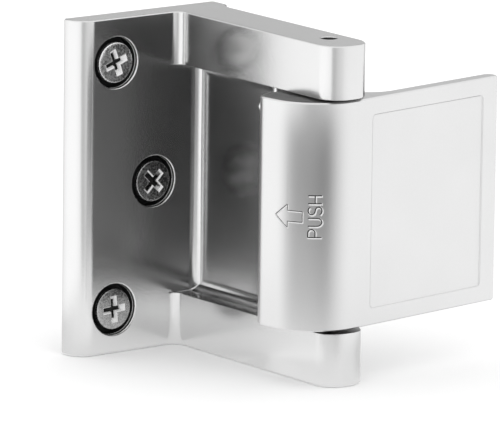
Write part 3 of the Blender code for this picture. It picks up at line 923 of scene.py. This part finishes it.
def make_tent():
    """A wide tent that only the metal's reflections see, with other tones for the second reflection."""
    work = bmesh.new()
    spun(work, [(0.0, TENT_LIFT), (TENT_RADIUS * 0.8, TENT_LIFT), (TENT_RADIUS * 0.93, TENT_RADIUS * 0.05),
                (TENT_RADIUS, TENT_RADIUS * 0.2), (TENT_RADIUS, TENT_HEIGHT)], TENT_STEPS)
    tent = mesh_object("tent", work)
    tent.location = (TENT_CENTRE_X, TENT_CENTRE_Y, CAD_BOX[0].z)
    finish, x, y, height = stage_finish("tent_tones")
    share = turn_share(x, y)
    first, near, second, high = (finish.ramp(share, stops, 360, TENT_GLOW) for stops in (
        TENT_FAR_TONES, TENT_NEAR_TONES, TENT_SECOND_TONES, TENT_HIGH_TONES))
    reach = x.step("SQRT", x * x + y * y, 0.0)
    away = finish.between(reach, TENT_NEAR_RADIUS, TENT_FAR_RADIUS)
    over = finish.between(height, TENT_BAND - TENT_BAND_SOFT, TENT_BAND + TENT_BAND_SOFT)
    beyond = finish.between(reach, TENT_SECOND_NEAR_RADIUS, TENT_SECOND_FAR_RADIUS)
    again = finish.mixed(over, finish.mixed(beyond, near, second), (*grey(TENT_SECOND_HIGH_TONE / TENT_GLOW), 1))
    once = finish.mixed(over, finish.mixed(away, near, first), high)
    hide_stage(tent, finish, finish.mixed(finish.bounced(), once, again), TENT_GLOW, 1.0)


def make_screen():
    """A grey screen round the barrel's axis that only first reflections see."""
    floor = CAD_BOX[0].z
    work = bmesh.new()
    spun(work, [(SCREEN_RADIUS, SCREEN_LIFT), (SCREEN_RADIUS, SCREEN_TOP - floor)], TENT_STEPS)
    screen = mesh_object("screen", work)
    screen.location = (BARREL_AXIS.x, BARREL_AXIS.y, floor)
    finish, x, y, height = stage_finish("screen_tones")
    share = turn_share(x, y)
    cover = Value(finish, finish.ramp(share, SCREEN_COVER, 360))
    top = SCREEN_TOP - floor
    cover = cover * (1 - finish.between(height, top - SCREEN_TOP_SOFT, top))
    foot = (1 - finish.between(height, *SCREEN_FOOT_RANGE)) * SCREEN_FOOT_EXTRA
    foot = foot + (1 - finish.between(height, *SCREEN_FLOOR_RANGE)) * SCREEN_FLOOR_EXTRA
    tone = finish.mixed(foot, finish.ramp(share, SCREEN_TONES, 360), (*grey(1), 1))
    hide_stage(screen, finish, tone, 1.0, cover * (1 - finish.bounced()))


def make_card():
    """A dark card in front of the corner of plate and web that only second reflections see."""
    floor = CAD_BOX[0].z
    work = bmesh.new()
    bmesh.ops.create_grid(work, x_segments=1, y_segments=1, size=0.5)
    bmesh.ops.rotate(work, cent=(0, 0, 0), matrix=Matrix.Rotation(math.radians(90), 3, "X"), verts=work.verts)
    bmesh.ops.translate(work, vec=(0, 0, 0.5), verts=work.verts)
    bmesh.ops.scale(work, vec=(CARD_HALF_WIDTH * 2, 1, CARD_TOP - floor), verts=work.verts)
    card = mesh_object("corner_card", work)
    corner = Vector((CARD_CORNER_X, CARD_CORNER_Y, floor))
    card.location = corner + Vector((math.cos(CARD_AZIMUTH), math.sin(CARD_AZIMUTH), 0)) * CARD_DISTANCE
    card.rotation_euler = (0, 0, CARD_AZIMUTH + math.radians(90))
    finish, x, y, height = stage_finish("card_tones")
    inset = finish.between(height, CARD_STEP_LOW, CARD_STEP_HIGH) * CARD_STEP
    edge = finish.between(x - inset, -CARD_HALF_WIDTH, CARD_SOFT_EDGE - CARD_HALF_WIDTH)
    rise = finish.between(height, 0.0, CARD_FOOT_HEIGHT)
    tone = finish.mixed(rise, (*grey(CARD_FOOT_TONE), 1), (*grey(CARD_TONE), 1))
    hide_stage(card, finish, tone, 1.0, edge * finish.bounced())


def stage_finish(name):
    """A new stage material with the surface's own X, Y and Z."""
    finish = Finish(bpy.data.materials.new(name))
    return finish, *finish.place()


def turn_share(x, y):
    """The way round Z as a share of a whole turn, from +X."""
    whole = y.step("ARCTAN2", y, x) / math.tau + 1.0
    return whole.step("FRACT", whole, 0.0)


def hide_stage(obj, finish, tone, strength, cover):
    """Give a stage piece its glow, clear where cover is 0, and leave it to the reflections alone."""
    glow = finish.node("ShaderNodeEmission", {}, {"Color": tone, "Strength": strength})
    clear = finish.node("ShaderNodeBsdfTransparent")
    mix = finish.node("ShaderNodeMixShader", {}, {0: cover, 1: clear.outputs[0], 2: glow.outputs[0]})
    finish.node("ShaderNodeOutputMaterial", {}, {"Surface": mix.outputs[0]})
    obj.data.materials.append(finish.material)
    obj.visible_camera = False
    obj.visible_diffuse = False
    obj.visible_shadow = False


def make_camera():
    a, e = CAMERA_AZIMUTH, CAMERA_ELEVATION
    back = Vector((math.sin(a) * math.cos(e), -math.cos(a) * math.cos(e), math.sin(e)))
    right = (-back).cross(UP).normalized()
    up = right.cross(-back)
    rolled_right = right * math.cos(CAMERA_ROLL) + up * math.sin(CAMERA_ROLL)
    rolled_up = up * math.cos(CAMERA_ROLL) - right * math.sin(CAMERA_ROLL)
    place = (CAMERA_TARGET + back * CAMERA_DISTANCE + rolled_right * CAMERA_SHIFT_RIGHT
             + rolled_up * CAMERA_SHIFT_UP)
    data = bpy.data.cameras.new("camera")
    data.sensor_fit = "HORIZONTAL"
    data.sensor_width = CAMERA_SENSOR
    data.lens = CAMERA_FOCAL_PIXELS * CAMERA_SENSOR / IMAGE_WIDTH
    data.clip_start = CAMERA_CLIP_START
    camera = link(bpy.data.objects.new("camera", data))
    turn = Matrix((rolled_right, rolled_up, back)).transposed().to_4x4()
    camera.matrix_world = Matrix.Translation(place) @ turn
    bpy.context.scene.camera = camera


class LOCK_PT_panel(bpy.types.Panel):
    """Lists the lock's steps and settings"""

    bl_idname = "LOCK_PT_panel"
    bl_label = "Door Lock"
    bl_space_type = "VIEW_3D"
    bl_region_type = "UI"
    bl_category = "Door Lock"

    def draw(self, context):
        settings = context.scene.lock_settings
        for name in LockSettings.__annotations__:
            self.layout.prop(settings, name)
        for step in STEPS:
            self.layout.operator(step.bl_idname)


STEPS = (LOCK_OT_bracket, LOCK_OT_leaf, LOCK_OT_screws, LOCK_OT_pins, LOCK_OT_inside, LOCK_OT_stage)
CLASSES = (LockSettings, *STEPS, LOCK_PT_panel)


def register():
    for cls in CLASSES:
        bpy.utils.register_class(cls)
    bpy.types.Scene.lock_settings = PointerProperty(type=LockSettings)


def unregister():
    del bpy.types.Scene.lock_settings
    for cls in reversed(CLASSES):
        bpy.utils.unregister_class(cls)


def main():
    register()
    bpy.context.scene.view_settings.view_transform = "Standard"
    bpy.ops.lock.bracket()
    bpy.ops.lock.leaf()
    bpy.ops.lock.screws()
    bpy.ops.lock.pins()
    bpy.ops.lock.inside()
    bpy.ops.lock.stage()


if __name__ == "__main__":
    main()
